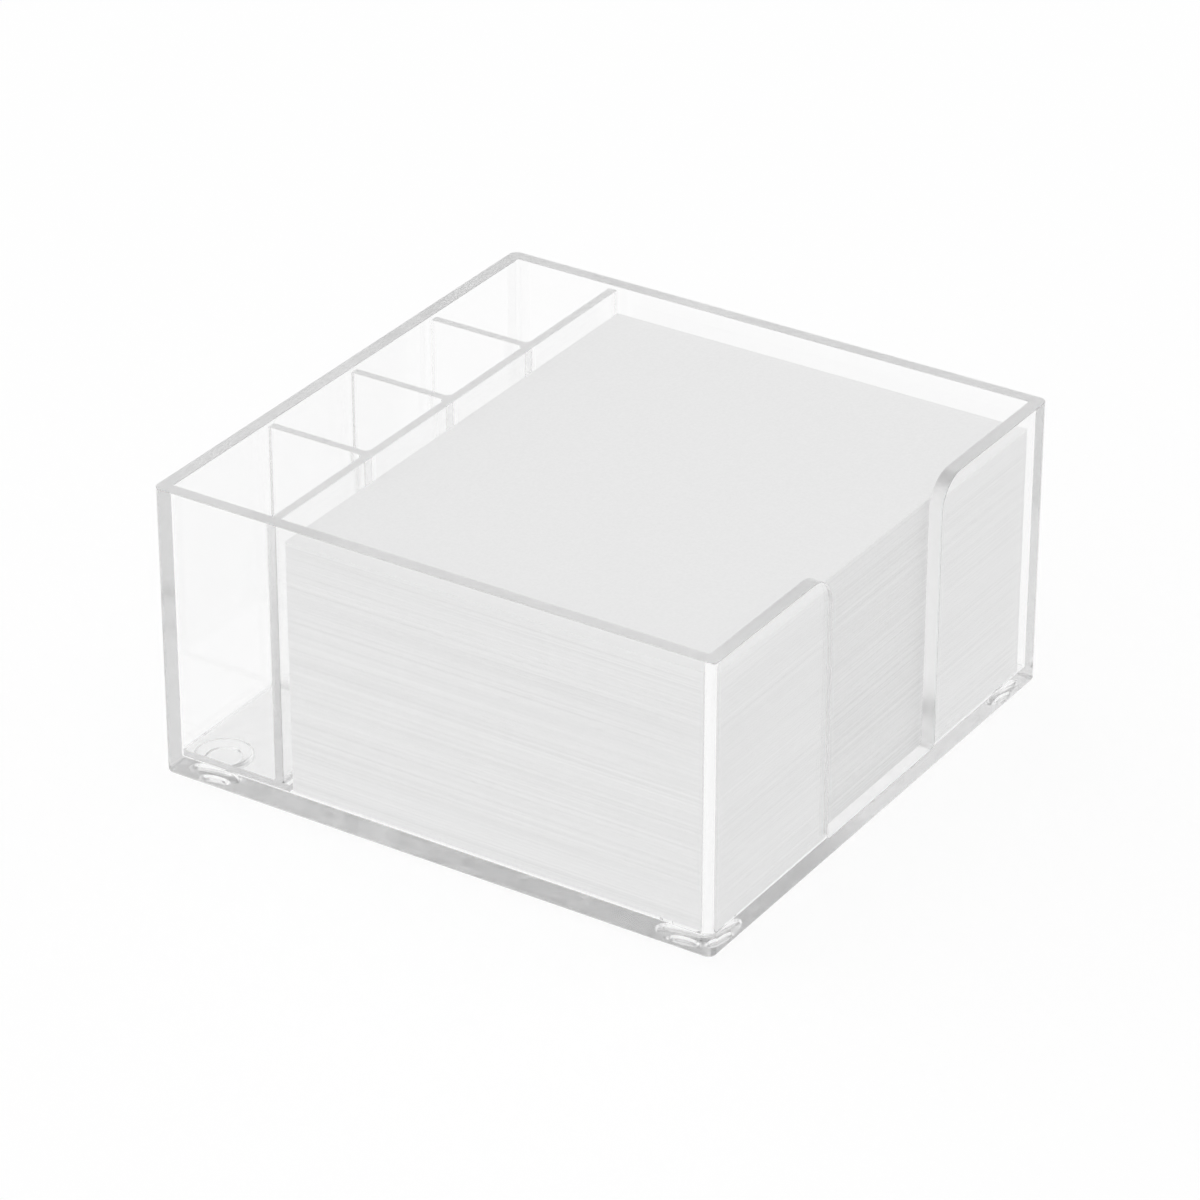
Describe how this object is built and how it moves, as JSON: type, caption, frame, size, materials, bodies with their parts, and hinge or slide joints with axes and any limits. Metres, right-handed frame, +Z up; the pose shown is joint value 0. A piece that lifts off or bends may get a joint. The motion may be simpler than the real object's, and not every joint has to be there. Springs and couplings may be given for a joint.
{
  "type": "note paper holder",
  "caption": "Clear open-topped desk box for loose note paper, with a thumb notch in front and a lift-out insert that makes small compartments at the rear.",
  "frame": {"origin": "under the middle of the box, on the plane of the feet", "axes": "+Z up, the thumb notch faces -Y, the compartments are at +Y"},
  "size_m": [0.1, 0.101, 0.0523],
  "materials": {
    "clear_plastic": "clear moulded plastic, polished",
    "clear_foot": "clear soft bumper",
    "note_paper": "uncoated white paper"
  },
  "bodies": {
    "box": {"box_body": "clear_plastic", "foot_front_left": "clear_foot", "foot_front_right": "clear_foot", "foot_rear_left": "clear_foot", "foot_rear_right": "clear_foot"},
    "insert": {"compartment_insert": "clear_plastic"},
    "stack": {"paper_lot_1": "note_paper", "paper_lot_2": "note_paper", "paper_lot_3": "note_paper", "paper_lot_4": "note_paper", "paper_lot_5": "note_paper", "paper_lot_6": "note_paper"},
    "sheet": {"top_sheet": "note_paper"}
  },
  "joints": [
    {"name": "insert_lift", "type": "slide", "parent": "box", "child": "insert", "axis": [0, 0, 1], "range_m": [0, 0.05]},
    {"name": "stack_lift", "type": "slide", "parent": "box", "child": "stack", "axis": [0, 0, 1], "range_m": [0, 0.05]},
    {"name": "sheet_lift", "type": "slide", "parent": "stack", "child": "sheet", "axis": [0, 0, 1], "range_m": [0, 0.03]}
  ]
}
